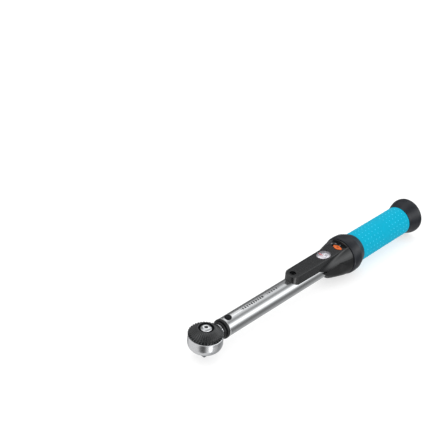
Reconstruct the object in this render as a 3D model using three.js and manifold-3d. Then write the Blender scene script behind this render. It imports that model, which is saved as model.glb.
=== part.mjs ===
// Click-type torque wrench, 1/4 inch square drive, 5 to 25 N m, with a window scale.
// Millimetres. +X runs from the head to the handle and +Z points out of the dial.
// The origin is the centre of the square drive's tip face. Inside the wrench group the
// heights are measured from the tube's axis.
import * as THREE from "three";
import { mergeVertices } from "three/addons/utils/BufferGeometryUtils.js";
import Module from "manifold-3d";

const wasm = await Module();
wasm.setup();

// Driving dimensions
const AXIS_HEIGHT = 17.5; // tube axis above the drive's tip
const GAP = 0.3; // clearance between neighbouring pieces
const SQUARE = 6.35;
const TUBE_R = 9;
const BORE_R = 7.6;
const TUBE_FRONT = 22.5;
const TUBE_REAR = 265;
const PIVOT_X = 28;
const DRUM_R = 15.66;
const DRUM_TOP = 4.6;
const DRUM_BOTTOM = -9.3;
const CAVITY_R = 13.6;
const CAVITY_FLOOR = -7.2;
const TANG_END = 78;
const SPRING_FRONT = 101.6;
const SPRING_REAR = 150;
const TONGUE_TOP = 15;
const HOUSING_REAR = 190;
const WINDOW_X = 162.5;
const SCREW_X = 116;
const COLLAR_FRONT = 191;
const GRIP_FRONT = 211.7;
const GRIP_REAR = 291.2;
const GRIP_R = 15;
const CORE_R = 13.2;
const HANDLE_END = 309.5;
const SCREW_R = 3;
const GEAR_TEETH = 24;
const GEAR_TIP_R = 7.5;
const GEAR_ROOT_R = 6.5;
const PAWL_PIVOT = 9.5;
const PAWL_ROCK = 4.5; // degrees to each side of the middle
const DIAL_HALF_TURN = 30; // degrees to each side of the middle
const FINE = 40; // sides of the large round pieces
const COARSE = 24; // sides of the small ones

const radians = THREE.MathUtils.degToRad;

// Materials
const metal = (color, roughness) => new THREE.MeshStandardMaterial({ color, roughness, metalness: 1 });
const plastic = (color, roughness) => new THREE.MeshStandardMaterial({ color, roughness, metalness: 0 });
const chrome = metal(0xd9dbdd, 0.18);
const satinChrome = metal(0xc4c6c8, 0.35);
const steel = metal(0x8d9094, 0.4);
const springSteel = metal(0x6f7276, 0.35);
const blackOxide = metal(0x2a2b2d, 0.5);
const blackPlastic = plastic(0x2e3032, 0.5);
const collarPlastic = plastic(0x34373d, 0.42);
const rubber = plastic(0x1d1e1f, 0.7);
const tealRubber = plastic(0x00b4d2, 0.55);
const orangePlastic = plastic(0xeb7d2d, 0.4);
const whiteScale = plastic(0xece9ee, 0.5);
const redMark = plastic(0xd0303a, 0.5);
const clearLens = new THREE.MeshStandardMaterial({
  color: 0xeef2f6, roughness: 0.05, metalness: 0, transparent: true, opacity: 0.35,
});

// A closed manifold solid from a three.js geometry
function solid(geometry) {
  geometry.deleteAttribute("normal");
  geometry.deleteAttribute("uv");
  const merged = mergeVertices(geometry, 1e-4);
  const corners = merged.index.array;
  const kept = [];
  for (let i = 0; i < corners.length; i += 3) {
    const [a, b, c] = [corners[i], corners[i + 1], corners[i + 2]];
    if (a !== b && b !== c && c !== a) kept.push(a, b, c);
  }
  return new wasm.Manifold(new wasm.Mesh({
    numProp: 3,
    vertProperties: new Float32Array(merged.attributes.position.array),
    triVerts: new Uint32Array(kept),
  }));
}

function lathe(profile, segments) {
  return new THREE.LatheGeometry(profile.map(([r, h]) => new THREE.Vector2(r, h)), segments);
}

// Turned about the drive axis: [radius, height] pairs, from the axis round to the axis
const turnedZ = (profile, segments = FINE) => solid(lathe(profile, segments).rotateX(Math.PI / 2));

// Turned about the tube axis: an anticlockwise loop of [x, radius] pairs, which is closed here
function turnedX(loop, segments = FINE) {
  const profile = [...loop, loop[0]].reverse().map(([x, r]) => [r, x]);
  return solid(lathe(profile, segments).rotateZ(-Math.PI / 2));
}

const ringZ = (inner, outer, z0, z1, segments = FINE) =>
  turnedZ([[inner, z0], [outer, z0], [outer, z1], [inner, z1], [inner, z0]], segments);

function rodZ(x, y, radius, z0, z1, segments = COARSE) {
  const rod = new THREE.CylinderGeometry(radius, radius, z1 - z0, segments);
  return solid(rod.rotateX(Math.PI / 2).translate(x, y, (z0 + z1) / 2));
}

function rodX(radius, x0, x1, segments = COARSE) {
  const rod = new THREE.CylinderGeometry(radius, radius, x1 - x0, segments);
  return solid(rod.rotateZ(-Math.PI / 2).translate((x0 + x1) / 2, 0, 0));
}

function rodY(x, z, radius, y0, y1, segments = 16) {
  const rod = new THREE.CylinderGeometry(radius, radius, y1 - y0, segments);
  return solid(rod.translate(x, (y0 + y1) / 2, z));
}

function box([x0, x1], [y0, y1], [z0, z1]) {
  const shape = new THREE.BoxGeometry(x1 - x0, y1 - y0, z1 - z0);
  return solid(shape.translate((x0 + x1) / 2, (y0 + y1) / 2, (z0 + z1) / 2));
}

function prism(shape, z0, z1, curveSegments = 12) {
  const options = { depth: z1 - z0, bevelEnabled: false, curveSegments };
  return solid(new THREE.ExtrudeGeometry(shape, options).translate(0, 0, z0));
}

const outline = (points) => new THREE.Shape(points.map(([x, y]) => new THREE.Vector2(x, y)));

function oval(x, halfX, halfY) {
  return new THREE.Shape().absellipse(x, 0, halfX, halfY, 0, 2 * Math.PI);
}

// Part of a flat ring between two angles in degrees
function sector(inner, outer, from, to) {
  const shape = new THREE.Shape();
  shape.absarc(0, 0, outer, radians(from), radians(to), false);
  shape.absarc(0, 0, inner, radians(to), radians(from), true);
  return shape;
}

function hexagonX(acrossFlats, x0, x1) {
  return rodX(acrossFlats / Math.sqrt(3), x0, x1, 6);
}

class Helix extends THREE.Curve {
  constructor(radius, length, turns) {
    super();
    Object.assign(this, { radius, length, turns });
  }

  getPoint(t, target = new THREE.Vector3()) {
    const angle = 2 * Math.PI * this.turns * t;
    return target.set(this.radius * Math.cos(angle), this.radius * Math.sin(angle), this.length * t);
  }
}

// A coil spring along +Z from the origin, its wire inside the given length
function coil(radius, wire, length, turns, steps, sides) {
  const section = new THREE.Shape().absarc(0, 0, wire, 0, 2 * Math.PI);
  const path = new Helix(radius, length - 2 * wire, turns);
  const options = { extrudePath: path, steps, curveSegments: sides / 2, bevelEnabled: false };
  return new THREE.ExtrudeGeometry(section, options).translate(0, 0, wire);
}

const wrench = new THREE.Group();
wrench.position.z = AXIS_HEIGHT;

function assembly() {
  const group = new THREE.Group();
  wrench.add(group);
  return group;
}

function addPart(group, name, shape, material) {
  const mesh = shape.getMesh();
  const geometry = new THREE.BufferGeometry();
  geometry.setAttribute("position", new THREE.BufferAttribute(mesh.vertProperties, 3));
  geometry.setIndex(new THREE.BufferAttribute(mesh.triVerts, 1));
  geometry.computeVertexNormals();
  const part = new THREE.Mesh(geometry, material);
  part.name = name;
  group.add(part);
  return part;
}

// Tube and what is fixed to it
function tube() {
  const wall = turnedX([
    [TUBE_FRONT, BORE_R], [TUBE_REAR, BORE_R], [TUBE_REAR, TUBE_R], [TUBE_FRONT + 0.8, TUBE_R],
    [TUBE_FRONT, TUBE_R - 0.6],
  ], 32);
  const pinHoles = rodZ(PIVOT_X, 0, 2.6, -10, 10);
  const screwHole = rodZ(SCREW_X, 0, 1.8, 6, 10, 12);
  const carrierSlot = box([141.4, 171.6], [-2, 2], [5, 10]);
  const plugPinHoles = rodY(252, 5.2, 1.3, -9, 9);
  return wall.subtract(pinHoles).subtract(screwHole).subtract(carrierSlot).subtract(plugPinHoles);
}

// Rivet-like pin through tube and tang, its heads dished to sit on the tube
function pivotPin() {
  const topHead = turnedZ([[0, 7.5], [3.3, 7.5], [3.3, 9.7], [2.8, 10.2], [0, 10.2]], COARSE);
  const bottomHead = turnedZ([[0, -10], [2.6, -10], [3, -9.6], [3, -7.5], [0, -7.5]], COARSE);
  const heads = topHead.add(bottomHead).subtract(rodX(TUBE_R + GAP, -8, 8));
  return heads.add(rodZ(0, 0, 2.3, -9.5, 9.5));
}

function neckBoot() {
  return turnedX([
    [16.3, 6.3], [25.5, 6.3], [25.5, BORE_R - GAP], [22.2, BORE_R - GAP], [22.2, 8.9], [21.9, 9.2],
    [19.8, 9.2], [19.5, 8.9], [19.5, 7], [18.4, 7], [18.4, 7.8], [16.3, 7.8],
  ], 32);
}

const FLARE = [
  [149, 9.4], [152, 9.9], [156, 10.6], [161, 11.8], [169, 14.2], [177, 16], [185.5, 17.8], [190, 18.2],
];
const SADDLE = [
  [150.5, 9.9], [152, 10.8], [160, 11.2], [169, 13.8], [177, 15.7], [185.5, 17.7], [190, 18.2],
];

const flared = (profile) => turnedX([[profile[0][0], 8], [HOUSING_REAR, 8], ...[...profile].reverse()]);

// What a side outline covers of the housing, right across it
function sideSlab(points) {
  const side = outline(points);
  const slab = new THREE.ExtrudeGeometry(side, { depth: 44, bevelEnabled: false });
  return solid(slab.translate(0, 0, -22).rotateX(Math.PI / 2));
}

// Everything under the upper shell's edge, and the space of the saddle with its raked front
const underUpper = () => sideSlab([
  [148.5, -20], [192, -20], [192, 7.3], [173.1, 7.3], [158.8, 2.3], [152.8, 3.6], [148.5, 5],
]);
const saddleSpace = () => sideSlab([
  [164.6, -20], [192, -20], [192, 7], [173.1, 7], [158.8, 2], [152, 2.5],
]);

// Hollow inside both shells, round the tube
function housingHollow() {
  const around = turnedX([[168, 8.5], [186.5, 8.5], [186.5, 12.8], [176, 12.8], [170, 11]], 32);
  return around.add(rodX(TUBE_R + GAP, 100, 195, 32));
}

function tongue() {
  const plan = (inset) => outline([
    [110 + inset, -2.6], [111.5 + inset, -5], [116, -7.5 + inset], [140, -7.7 + inset],
    [188.6, -8 + inset], [188.6, 8 - inset], [140, 7.7 - inset], [116, 7.5 - inset],
    [111.5 + inset, 5], [110 + inset, 2.6],
  ]);
  return prism(plan(0), 4.8, TONGUE_TOP - 0.5).add(prism(plan(0.5), TONGUE_TOP - 0.6, TONGUE_TOP));
}

function housingUpper() {
  const flare = flared(FLARE).subtract(box([150, 188.6], [-8, 8], [TONGUE_TOP, 20]));
  const shell = flare.add(tongue()).subtract(underUpper()).subtract(housingHollow());
  const channel = box([133, 188.9], [-6.5, 6.5], [5, 13.3]);
  const screwHole = rodZ(SCREW_X, 0, 3.1, 12, 16).add(rodZ(SCREW_X, 0, 1.8, 5, 13, 12));
  const lensSeat = prism(oval(WINDOW_X, 8.4, 6.5), 13.6, 16);
  const windowHole = prism(oval(WINDOW_X, 7.7, 5.8), 12, 15);
  const sliderSlot = box([180.3, 183.7], [-4.8, 5], [12, 17]);
  const boltSlot = box([188, 191], [-1.1, 1.1], [11.9, 13.4]);
  const cuts = [channel, screwHole, lensSeat, windowHole, sliderSlot, boltSlot];
  return cuts.reduce((left, cut) => left.subtract(cut), shell);
}

const housingLower = () => flared(SADDLE).intersect(saddleSpace()).subtract(housingHollow());

function housingScrew() {
  const head = rodZ(SCREW_X, 0, 2.7, 12.3, 14).subtract(rodZ(SCREW_X, 0, 1.4, 12.9, 15, 6));
  return head.add(rodZ(SCREW_X, 0, 1.5, 7.9, 12.5, 12));
}

const frame = assembly();
addPart(frame, "tube", tube(), chrome);
addPart(frame, "pivot_pin", pivotPin(), blackOxide).position.x = PIVOT_X;
addPart(frame, "neck_boot", neckBoot(), rubber);
addPart(frame, "housing_upper", housingUpper(), blackPlastic);
addPart(frame, "housing_lower", housingLower(), blackPlastic);
addPart(frame, "housing_screw", housingScrew(), blackOxide);
addPart(frame, "scale_window", prism(oval(WINDOW_X, 8.2, 6.3), 13.9, 14.9), clearLens);
addPart(frame, "index_pointer", box([162.25, 162.75], [0.5, 5.7], [13.2, 13.6]), redMark);

// Bearing block for the lead screw, pinned in the tube's rear end
function tubeEndPlug() {
  const block = turnedX([[245.6, 3.4], [261.5, 3.4], [261.5, BORE_R - GAP], [245.6, BORE_R - GAP]], 24);
  return block.subtract(rodY(252, 5.2, 1.3, -9, 9));
}

addPart(frame, "tube_end_plug", tubeEndPlug(), steel);
addPart(frame, "plug_pin", rodY(252, 5.2, 1, -6.9, 6.9), blackOxide);
const washerLoop = [[244.3, 3.4], [245.3, 3.4], [245.3, 6.9], [244.3, 6.9]];
addPart(frame, "thrust_washer", turnedX(washerLoop, COARSE), steel);

// Ratchet head: drum, neck and tang in one forging, with the gear cavity open at the top
function headBody() {
  const filletR = 6.1;
  const profile = [[0, DRUM_BOTTOM]];
  for (let step = 0; step <= 4; step += 1) {
    const angle = radians(-90 + 22.5 * step);
    profile.push([
      DRUM_R - filletR + filletR * Math.cos(angle), DRUM_BOTTOM + filletR + filletR * Math.sin(angle),
    ]);
  }
  profile.push([DRUM_R, DRUM_TOP], [0, DRUM_TOP]);
  const neckShoulder = rodX(6.4, 8, 16);
  const neck = rodX(5.6, 8, 34).add(neckShoulder).subtract(rodZ(0, 0, DRUM_R, DRUM_TOP, 12, FINE));
  const tang = box([32, TANG_END], [-3.7, 3.7], [-4.2, 4.2]);
  const forging = turnedZ(profile).add(neck).add(tang);
  const cavity = rodZ(0, 0, CAVITY_R, CAVITY_FLOOR, 12, FINE);
  const bossHole = rodZ(0, 0, 5.7, -12, 0, 32);
  const pawlPinHole = rodZ(PAWL_PIVOT, 0, 1.2, -8.5, 0, 12);
  const pivotHole = rodZ(PIVOT_X, 0, 2.6, -8, 8);
  return forging.subtract(cavity).subtract(bossHole).subtract(pawlPinHole).subtract(pivotHole);
}

// Plate over the gear, notched at its edge for the dial's shift lug
function headCover() {
  const notch = prism(sector(11.5, 14.5, -46, 46), 1.7, 5.7, 16);
  return ringZ(7.5, CAVITY_R - GAP, 2.8, 3.75).subtract(notch);
}

const head = assembly();
addPart(head, "head_body", headBody(), satinChrome);
addPart(head, "head_cover", headCover(), steel);
addPart(head, "cover_clip", prism(sector(12.3, 13.4, 52, 308), 4.05, 4.55, 24), springSteel);
addPart(head, "pawl_pin", rodZ(PAWL_PIVOT, 0, 0.9, -8.2, 2.5, 12), steel);

// Ratchet gear outline; grow widens it evenly to cut a clearance
function gearOutline(grow) {
  const points = [];
  const pitch = (2 * Math.PI) / GEAR_TEETH;
  for (let tooth = 0; tooth < GEAR_TEETH; tooth += 1) {
    const spread = 0.12 * pitch + grow / GEAR_TIP_R;
    const rootSpread = 0.4 * pitch;
    for (const [radius, offset] of [
      [GEAR_ROOT_R + grow, -rootSpread], [GEAR_TIP_R + grow, -spread],
      [GEAR_TIP_R + grow, spread], [GEAR_ROOT_R + grow, rootSpread],
    ]) {
      const angle = tooth * pitch + offset;
      points.push([radius * Math.cos(angle), radius * Math.sin(angle)]);
    }
  }
  return outline(points);
}

const BALL_Z = -13.4;

// Ratchet gear, boss and square drive in one piece, bored from the top for the release rod
function driveGear() {
  const half = SQUARE / 2;
  const tip = -AXIS_HEIGHT;
  const plan = (size) => outline([[size, -size], [size, size], [-size, size], [-size, -size]]);
  const square = prism(plan(half), tip + 0.5, -9);
  const lead = solid(new THREE.CylinderGeometry(half * Math.SQRT2, (half - 0.4) * Math.SQRT2, 0.5, 4, 1)
    .rotateY(Math.PI / 4).rotateX(Math.PI / 2).translate(0, 0, tip + 0.25));
  const gear = prism(gearOutline(0), -6.9, -0.9);
  const boss = rodZ(0, 0, 5.4, -10.2, -6.5, 32);
  const hub = rodZ(0, 0, 5.2, -1, 7.1, 32);
  const body = square.add(lead).add(gear).add(boss).add(hub);
  const bore = rodZ(0, 0, 1.65, -16.6, 8, 16).add(rodZ(0, 0, 3.4, 4.7, 8));
  return body.subtract(bore).subtract(rodY(0, BALL_Z, 1.3, 0, 4, 12));
}

const drive = assembly();
addPart(drive, "drive_gear", driveGear(), satinChrome);
const buttonSpring = coil(2.6, 0.28, 5, 4, 32, 4).translate(0, 0, 4.9);
addPart(drive, "button_spring", solid(buttonSpring), springSteel);
const ballShape = solid(new THREE.SphereGeometry(1, 12, 8));
addPart(drive, "drive_ball", ballShape, steel).position.set(0, SQUARE / 2 - 0.55, BALL_Z);

// Push button with its release rod; the rod's waist lets the ball in when it is pressed
function releaseButton() {
  const waistTop = BALL_Z + 2.9;
  const waistBottom = BALL_Z + 0.9;
  return turnedZ([
    [0, BALL_Z - 0.9], [1.3, BALL_Z - 0.9], [1.3, waistBottom], [0.75, waistBottom], [0.75, waistTop],
    [1.3, waistTop], [1.3, 10.3], [4.9, 10.3], [5.3, 10.7], [5.3, 11.5], [4.4, 12.7], [3.2, 13.3],
    [1.9, 13.4], [1.7, 12.2], [0, 12.2],
  ], COARSE);
}

addPart(drive, "release_button", releaseButton(), chrome);

// Reversing dial: a shallow cone with a toothed rim and a hub through the cover plate
function reversingDial() {
  const cone = turnedZ([
    [5.6, 1.4], [7.2, 1.4], [7.2, 1.6], [6.4, 1.6], [6.4, 2.6], [7.2, 2.6], [7.2, 4.9], [14.8, 4.9],
    [15.2, 5.2], [15.2, 6.2], [7.9, 12.4], [7.3, 12.6], [6.9, 12.2], [6.9, 8.9], [5.6, 8.9], [5.6, 1.4],
  ]);
  const teeth = 36;
  const rim = [];
  for (let step = 0; step < 2 * teeth; step += 1) {
    const angle = (Math.PI * step) / teeth;
    const radius = step % 2 ? 14.6 : 15.4;
    rim.push([radius * Math.cos(angle), radius * Math.sin(angle)]);
  }
  return cone.intersect(prism(outline(rim), 0, 14));
}

const dial = assembly();
addPart(dial, "reversing_dial", reversingDial(), blackPlastic);
addPart(dial, "dial_clip", ringZ(6.7, 8.4, 1.8, 2.3, COARSE), springSteel);
const lugShape = sector(11.9, 13.3, -DIAL_HALF_TURN - 12, -DIAL_HALF_TURN + 12);
addPart(dial, "shift_lug", prism(lugShape, -5, 4.6, 4), steel);

// Double-ended pawl, drawn round its pivot pin; both ends are cut to mesh with the gear
function pawl() {
  let shape = prism(sector(6, 11.2, -40, 40), -6.6, -1.2, 10).translate([-PAWL_PIVOT, 0, 0]);
  for (const side of [-1, 1]) {
    const mesh = prism(gearOutline(0.33), -8, 0).translate([-PAWL_PIVOT, 0, 0]);
    shape = shape.subtract(mesh.rotate([0, 0, side * PAWL_ROCK]));
  }
  return shape.subtract(rodZ(0, 0, 1.2, -8, 0, 16));
}

const pawlPart = addPart(head, "pawl", pawl(), steel);
pawlPart.position.x = PAWL_PIVOT;
pawlPart.rotation.z = radians(-PAWL_ROCK);

// Click mechanism inside the tube: block, plunger and main spring
function tripBlock() {
  const plan = outline([
    [0, -1.3], [0, 1.3], [-1.2, 2.5], [-6.8, 2.5], [-8, 1.3], [-8, -1.3], [-6.8, -2.5], [-1.2, -2.5],
  ]);
  return prism(plan, -3.5, 3.5);
}

function plunger() {
  return turnedX([
    [86.8, 0], [86.8, 6.9], [87.1, BORE_R - GAP], [101.3, BORE_R - GAP], [101.3, 4], [105.6, 4], [106, 3.6],
    [106, 0],
  ].reverse(), COARSE);
}

const clicker = assembly();
addPart(clicker, "trip_block", tripBlock(), steel).position.x = TANG_END + 8.4;
addPart(clicker, "plunger", plunger(), steel);
const mainSpring = coil(5.4, 1, SPRING_REAR - SPRING_FRONT, 9, 90, 6);
mainSpring.rotateY(Math.PI / 2).translate(SPRING_FRONT, 0, 0);
addPart(clicker, "main_spring", solid(mainSpring), springSteel);

// Nut on the lead screw; the scale carrier stands in its pocket and keeps it from turning
function springNut() {
  const nut = turnedX([
    [146, 3.3], [172, 3.3], [172, BORE_R - GAP], [SPRING_REAR + GAP, BORE_R - GAP], [SPRING_REAR + GAP, 4],
    [146, 4],
  ], COARSE);
  return nut.subtract(box([159.7, 171.3], [-2, 2], [5.4, 8]));
}

function scaleCarrier() {
  const plate = box([154, 188.5], [-6.1, 6.1], [11.2, 11.9]);
  return plate.add(box([160, 171], [-1.7, 1.7], [5.7, 11.5]));
}

const carriage = assembly();
addPart(carriage, "spring_nut", springNut(), steel);
addPart(carriage, "scale_carrier", scaleCarrier(), whiteScale);

// Handle: everything that turns about the tube
function collarRing() {
  const ring = turnedX([
    [COLLAR_FRONT, 9.5], [195.5, 9.5], [195.5, CORE_R + GAP], [211.4, CORE_R + GAP], [211.4, 15.3],
    [208.6, 16.9], [205, 18.3], [201.8, 19.1], [196, 19.6], [192.6, 19.4], [COLLAR_FRONT, 18.4],
  ]);
  const notches = [];
  for (let step = 0; step < 24; step += 1) {
    const notch = box([COLLAR_FRONT - 1, 193.6], [-1.1, 1.1], [11.8, 13.5]);
    notches.push(notch.rotate([15 * step, 0, 0]));
  }
  return ring.subtract(wasm.Manifold.union(notches));
}

function handleCore() {
  const sleeve = turnedX([
    [195.8, TUBE_R + GAP], [266, TUBE_R + GAP], [268, 0], [289, 0], [289, CORE_R], [195.8, CORE_R],
  ], 32);
  return sleeve.subtract(hexagonX(6.2, 260, 290));
}

function endCap() {
  const cup = turnedX([
    [289.3, 0], [306.5, 0], [306.5, 10], [HANDLE_END, 11.5], [HANDLE_END, 17.2], [309, 18.2], [306.8, 18.6],
    [304.5, 18.5], [301, 17.7], [298, 16.6], [295, 15.7], [291.6, 15.1], [291.6, 12.9], [289.3, 12.9],
  ]);
  return cup.subtract(rodX(1.8, 280, 305, 12)).subtract(rodX(3.1, 303.5, 308));
}

// Lead screw with a thrust flange and a hexagon end for the handle core
function leadScrew() {
  const screw = turnedX([
    [134, 0], [134, 2.6], [134.4, SCREW_R], [241.5, SCREW_R], [241.5, 6.8], [244, 6.8], [244, SCREW_R],
    [262, SCREW_R], [262, 2.4], [263.4, 2.4], [263.4, SCREW_R], [265, SCREW_R], [265, 0],
  ].reverse(), 16);
  return screw.add(hexagonX(5.6, 264.5, 288.5)).subtract(rodX(1.8, 276, 290, 12));
}

function handleBolt() {
  const head = rodX(2.8, 303.8, 306.8).subtract(hexagonX(2.5, 305.3, 308));
  return head.add(rodX(1.5, 277, 304, 12));
}

const handle = assembly();
addPart(handle, "collar_ring", collarRing(), collarPlastic);
addPart(handle, "handle_core", handleCore(), blackPlastic);
const sleeveLoop = [[GRIP_FRONT, 13.5], [GRIP_REAR, 13.5], [GRIP_REAR, GRIP_R], [GRIP_FRONT, GRIP_R]];
addPart(handle, "grip_sleeve", turnedX(sleeveLoop), tealRubber);
addPart(handle, "end_cap", endCap(), collarPlastic);
addPart(handle, "lead_screw", leadScrew(), steel);
addPart(handle, "screw_clip", turnedX([[262.2, 2.7], [263, 2.7], [263, 4.6], [262.2, 4.6]], 24), springSteel);
addPart(handle, "handle_bolt", handleBolt(), blackOxide);

// Handle lock: the slider's slanted rear edge pushes the bolt into a notch of the collar
const BOLT_PUSH = 2 / 3.6; // bolt travel for each millimetre of slider travel

function lockSlider() {
  const knob = outline([
    [179, -3.4], [181.4, -6.6], [182.6, -6.6], [185, -3.4], [185, 0], [182.6, 3.2], [181.4, 3.2], [179, 0],
  ]);
  const stem = box([180.6, 183.4], [-4.5, 1.1], [12.8, 15.3]);
  const rearEdge = (y) => 186.2 - BOLT_PUSH * y;
  const flange = outline([
    [177.6, -5.2], [rearEdge(-3.6), -5.2], [rearEdge(-3.6), -3.6], [rearEdge(1.8), 1.8], [177.6, 1.8],
  ]);
  return prism(knob, 15.1, 15.9).add(stem).add(prism(flange, 12.2, 13));
}

function lockBolt() {
  const nose = 186.6;
  const half = 0.8;
  const plan = outline([
    [190.1, -half], [190.1, half], [nose - BOLT_PUSH * half, half], [nose + BOLT_PUSH * half, -half],
  ]);
  return prism(plan, 12.2, 13);
}

const lock = assembly();
addPart(lock, "lock_slider", lockSlider(), orangePlastic);
addPart(lock, "lock_bolt", lockBolt(), steel);

export default wrench;
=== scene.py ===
"""Click torque wrench: visual pieces, materials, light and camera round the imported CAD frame.

Shapes are given in millimetres. x runs along the tube from the drive's centre to the handle, y is
sideways, and h is the height above the tube's axis.
"""
import math

import bmesh
import bpy
from mathutils import Matrix, Vector


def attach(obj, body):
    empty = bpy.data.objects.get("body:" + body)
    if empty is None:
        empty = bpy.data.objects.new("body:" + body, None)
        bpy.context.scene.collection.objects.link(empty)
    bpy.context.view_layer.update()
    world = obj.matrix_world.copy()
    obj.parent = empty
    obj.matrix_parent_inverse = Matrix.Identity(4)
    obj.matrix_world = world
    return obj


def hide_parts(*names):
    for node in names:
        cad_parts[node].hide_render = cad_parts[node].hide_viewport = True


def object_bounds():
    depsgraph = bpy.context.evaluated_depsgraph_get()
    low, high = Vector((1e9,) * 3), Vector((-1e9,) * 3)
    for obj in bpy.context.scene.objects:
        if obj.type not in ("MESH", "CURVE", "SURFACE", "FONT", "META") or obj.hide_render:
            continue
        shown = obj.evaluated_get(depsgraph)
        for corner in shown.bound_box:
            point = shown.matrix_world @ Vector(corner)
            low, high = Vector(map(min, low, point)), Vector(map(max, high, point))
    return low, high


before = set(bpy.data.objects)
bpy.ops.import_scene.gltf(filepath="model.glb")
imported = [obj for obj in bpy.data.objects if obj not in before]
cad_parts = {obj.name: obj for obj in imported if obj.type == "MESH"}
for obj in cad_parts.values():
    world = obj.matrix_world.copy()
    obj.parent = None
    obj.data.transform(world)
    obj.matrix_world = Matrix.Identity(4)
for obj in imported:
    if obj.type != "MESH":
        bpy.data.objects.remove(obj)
CAD_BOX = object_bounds()

MM = 0.001
AXIS = 17.5  # height of the tube's axis above the drive's tip
TUBE_R = 9.0
TUBE_END = 265.0
PIN_X = 28.0  # the head's pivot
SCREW_X = 116.0  # the screw in the tongue
WINDOW_X = 162.5  # the middle of the scale window
TONGUE_TOP = 15.0
HOUSING_REAR = 190.0
GRIP_FRONT = 211.7
GRIP_REAR = 291.2
FULL = 2 * math.pi


def at(x, y, h):
    """A point in metres, in the frame's coordinates."""
    return (x * MM, y * MM, (h + AXIS) * MM)


def mixed(a, b, t):
    return a + (b - a) * t


def along(profile, x):
    """Value at x of a line through (x, value) points."""
    for (x0, v0), (x1, v1) in zip(profile, profile[1:]):
        if x <= x1:
            return mixed(v0, v1, max(0.0, (x - x0) / (x1 - x0)))
    return profile[-1][1]


def smooth_along(profile, x):
    """Value at x of a smooth curve (Catmull-Rom) through (x, value) points."""
    last = len(profile) - 1
    for i in range(last):
        x0, v0 = profile[i]
        x1, v1 = profile[i + 1]
        if x <= x1 or i == last - 1:
            before = profile[max(i - 1, 0)]
            after = profile[min(i + 2, last)]
            span = x1 - x0
            slope0 = (v1 - before[1]) / (x1 - before[0]) * span
            slope1 = (after[1] - v0) / (after[0] - x0) * span
            t = min(1.0, max(0.0, (x - x0) / span))
            a = 2 * t**3 - 3 * t**2 + 1
            b = t**3 - 2 * t**2 + t
            c = 3 * t**2 - 2 * t**3
            d = t**3 - t**2
            return a * v0 + b * slope0 + c * v1 + d * slope1
    return profile[-1][1]


# ---------------------------------------------------------------- shapes

def build(points, faces):
    """A clean mesh from points in millimetres and lists of indices."""
    bm = bmesh.new()
    verts = [bm.verts.new(at(*p)) for p in points]
    for face in faces:
        bm.faces.new([verts[i] for i in face])
    bmesh.ops.remove_doubles(bm, verts=bm.verts, dist=1e-6)
    bmesh.ops.dissolve_degenerate(bm, edges=bm.edges, dist=1e-6)
    bmesh.ops.recalc_face_normals(bm, faces=bm.faces)
    mesh = bpy.data.meshes.new("shape")
    bm.to_mesh(mesh)
    bm.free()
    return mesh


def grid_faces(rows, columns, close_rows=False, close_columns=False):
    """Quads between rows of equal numbers of points."""
    faces = []
    for r in range(rows if close_rows else rows - 1):
        for c in range(columns if close_columns else columns - 1):
            r1 = (r + 1) % rows
            c1 = (c + 1) % columns
            faces.append((r * columns + c, r1 * columns + c, r1 * columns + c1, r * columns + c1))
    return faces


def rounded(loop, size=0.3, steps=3):
    """The closed loop with its corners rounded, except those at 0, which lie on a turning axis.

    A point's third number is that corner's own size.
    """
    result = []
    count = len(loop)
    for i, point in enumerate(loop):
        corner = Vector(point[:2])
        back = Vector(loop[i - 1][:2]) - corner
        ahead = Vector(loop[(i + 1) % count][:2]) - corner
        reach = point[2] if len(point) > 2 else size
        if corner.y == 0 or reach == 0:
            result.append(tuple(corner))
            continue
        start = corner + back.normalized() * min(reach, back.length * 0.45)
        end = corner + ahead.normalized() * min(reach, ahead.length * 0.45)
        for step in range(steps + 1):
            t = step / steps
            p = start * (1 - t) ** 2 + corner * 2 * t * (1 - t) + end * t**2
            result.append(tuple(p))
    return result


def turned(loop, axis="x", sides=96, centre=(0.0, 0.0)):
    """A solid turned from a closed loop of (place along the axis, radius)."""
    points = []
    for place, radius in loop:
        for side in range(sides):
            angle = FULL * side / sides
            u = radius * math.cos(angle)
            v = radius * math.sin(angle)
            if axis == "x":
                points.append((place, centre[0] + u, centre[1] + v))
            elif axis == "z":
                points.append((centre[0] + u, centre[1] + v, place))
            else:
                points.append((centre[0] + u, place, centre[1] + v))
    return build(points, grid_faces(len(loop), sides, close_rows=True, close_columns=True))


def rod(axis, centre, radius, start, end, sides=32):
    return turned([(start, 0), (end, 0), (end, radius), (start, radius)], axis, sides, centre)


def stacked(outline, levels, centre=None):
    """Copies of an outline at (scale, height) levels, skinned and closed at both ends."""
    count = len(outline)
    cx, cy = centre or (sum(p[0] for p in outline) / count, sum(p[1] for p in outline) / count)
    points = [
        (cx + (x - cx) * scale, cy + (y - cy) * scale, h) for scale, h in levels for x, y in outline
    ]
    faces = grid_faces(len(levels), count, close_columns=True)
    faces.append(tuple(range(count)))
    faces.append(tuple(range((len(levels) - 1) * count, len(levels) * count)))
    return build(points, faces)


def plate(outline, bottom, top):
    return stacked(outline, [(1, bottom), (1, top)])


def block(xs, ys, hs):
    return plate([(xs[0], ys[0]), (xs[1], ys[0]), (xs[1], ys[1]), (xs[0], ys[1])], *hs)


def polygon(cx, cy, radius, sides, turn=0.0):
    angles = [turn + FULL * i / sides for i in range(sides)]
    return [(cx + radius * math.cos(a), cy + radius * math.sin(a)) for a in angles]


def oval(cx, cy, half_x, half_y, sides=48, power=2.0):
    """A superellipse; a power under 2 draws its ends in to points."""
    points = []
    for i in range(sides):
        c = math.cos(FULL * i / sides)
        s = math.sin(FULL * i / sides)
        x = math.copysign(abs(c) ** (2 / power), c)
        y = math.copysign(abs(s) ** (2 / power), s)
        points.append((cx + half_x * x, cy + half_y * y))
    return points


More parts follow.
